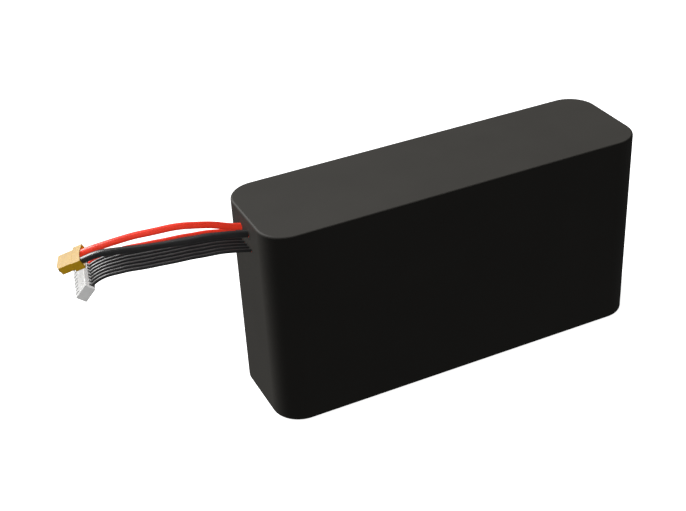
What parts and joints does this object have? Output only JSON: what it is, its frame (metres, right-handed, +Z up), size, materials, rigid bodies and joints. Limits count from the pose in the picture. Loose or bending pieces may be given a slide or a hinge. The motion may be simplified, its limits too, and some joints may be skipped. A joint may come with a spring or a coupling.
{
  "type": "lithium polymer battery pack",
  "caption": "Tall black rectangular battery pack with rounded corners; power leads with a yellow plug and a balance ribbon with a white plug leave one end.",
  "frame": {"origin": "centre of the bottom face of the pack, which stands on its long narrow side", "axes": "+Z up; +X along the pack's length towards the closed end, so the leads leave the -X end; +Y across the pack"},
  "size_m": [0.2988, 0.06, 0.1093],
  "materials": {
    "sleeve": "matte black heat-shrink film, very fine grain",
    "case": "black moulded plastic, light texture",
    "pouch": "dull silver laminated foil",
    "pad": "pale double-sided foam tape",
    "board": "green glass-fibre laminate",
    "foam": "dark grey closed-cell foam",
    "positive_tab": "bright thin aluminium strip",
    "negative_tab": "nickel-clad copper strip, warm tint",
    "copper": "bare rolled copper",
    "sheet": "tan insulating paper",
    "bushing": "black rubber",
    "lead_tail": "silicone insulation",
    "red_lead": "satin red silicone insulation",
    "black_lead": "satin black silicone insulation",
    "yellow_plug": "amber yellow nylon, slight sheen",
    "gold": "gold plated",
    "white_plug": "white nylon",
    "tin": "tin-plated bronze"
  },
  "bodies": {
    "root": {"sleeve": "sleeve", "case_tub": "case", "case_lid": "case", "cell_1": "pouch", "cell_2": "pouch", "cell_3": "pouch", "cell_4": "pouch", "cell_5": "pouch", "cell_6": "pouch", "cell_7": "pouch", "cell_pad_1": "pad", "cell_pad_2": "pad", "cell_pad_3": "pad", "cell_pad_4": "pad", "cell_pad_5": "pad", "cell_pad_6": "pad", "side_board_front": "board", "side_board_back": "board", "tab_board": "board", "top_foam": "foam", "bottom_foam": "foam", "end_foam": "foam", "positive_tab_1": "positive_tab", "positive_tab_2": "positive_tab", "positive_tab_3": "positive_tab", "positive_tab_4": "positive_tab", "positive_tab_5": "positive_tab", "positive_tab_6": "positive_tab", "positive_tab_7": "positive_tab", "negative_tab_1": "negative_tab", "negative_tab_2": "negative_tab", "negative_tab_3": "negative_tab", "negative_tab_4": "negative_tab", "negative_tab_5": "negative_tab", "negative_tab_6": "negative_tab", "negative_tab_7": "negative_tab", "series_links": "copper", "insulating_sheet": "sheet", "power_bushing": "bushing", "balance_bushing": "bushing", "lead_tails": "lead_tail", "positive_lead": "red_lead", "balance_wire_1": "red_lead", "negative_lead": "black_lead", "balance_wire_2": "black_lead", "balance_wire_3": "black_lead", "balance_wire_4": "black_lead", "balance_wire_5": "black_lead", "balance_wire_6": "black_lead", "balance_wire_7": "black_lead", "balance_wire_8": "black_lead", "power_plug": "yellow_plug", "positive_socket": "gold", "negative_socket": "gold", "balance_plug": "white_plug", "balance_contacts": "tin"}
  },
  "joints": []
}
